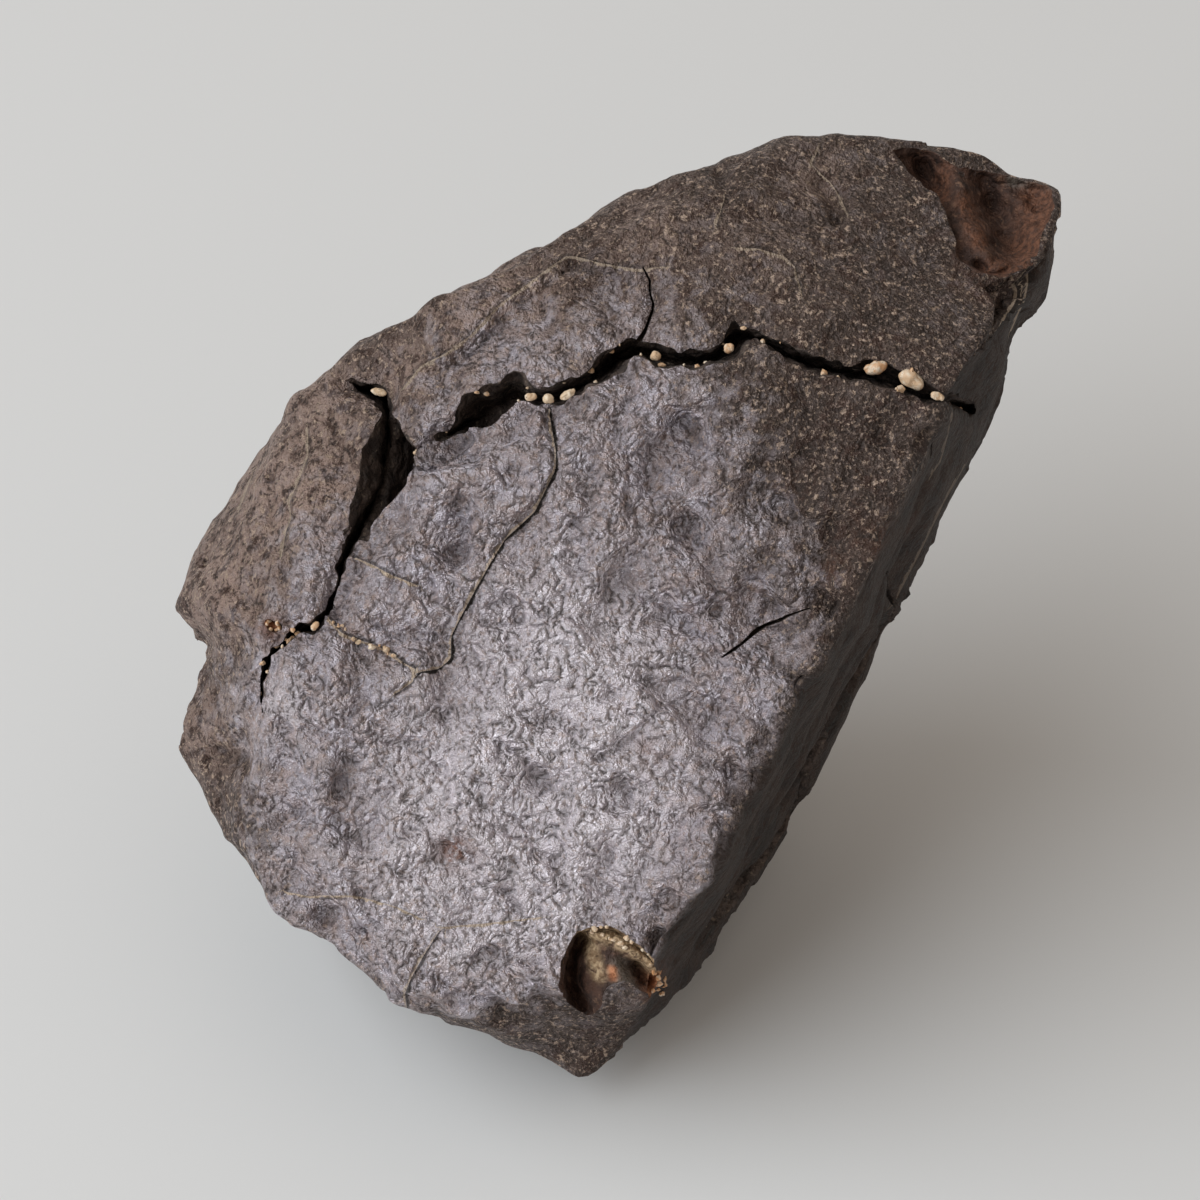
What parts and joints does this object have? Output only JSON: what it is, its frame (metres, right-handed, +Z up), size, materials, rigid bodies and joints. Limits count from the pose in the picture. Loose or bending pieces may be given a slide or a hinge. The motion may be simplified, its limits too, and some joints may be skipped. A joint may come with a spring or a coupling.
{
  "type": "chondrite meteorite",
  "caption": "Blocky weathered stony meteorite with a broad flat face, deep gaping cracks, a ledge, broken corners and sand grains lodged in the cracks.",
  "frame": {"origin": "on the small flat spot that the stone stands on, straight below the stone's middle", "axes": "+Z up, -Y towards the viewer of the broad face, which leans back 48 degrees from upright, +X to the viewer's right"},
  "size_m": [0.0707, 0.0588, 0.0588],
  "materials": {
    "weathered_crust": "rough dark grey-brown desert varnish with a dull purple-grey sheen",
    "desert_sand": "matt, pale tan"
  },
  "bodies": {
    "root": {"stone": "weathered_crust", "sand_grain_1": "desert_sand", "sand_grain_2": "desert_sand", "sand_grain_3": "desert_sand", "sand_grain_4": "desert_sand", "sand_grain_5": "desert_sand", "sand_grain_6": "desert_sand", "sand_grain_7": "desert_sand", "sand_grain_8": "desert_sand", "sand_grain_9": "desert_sand", "sand_grain_10": "desert_sand"}
  },
  "joints": []
}
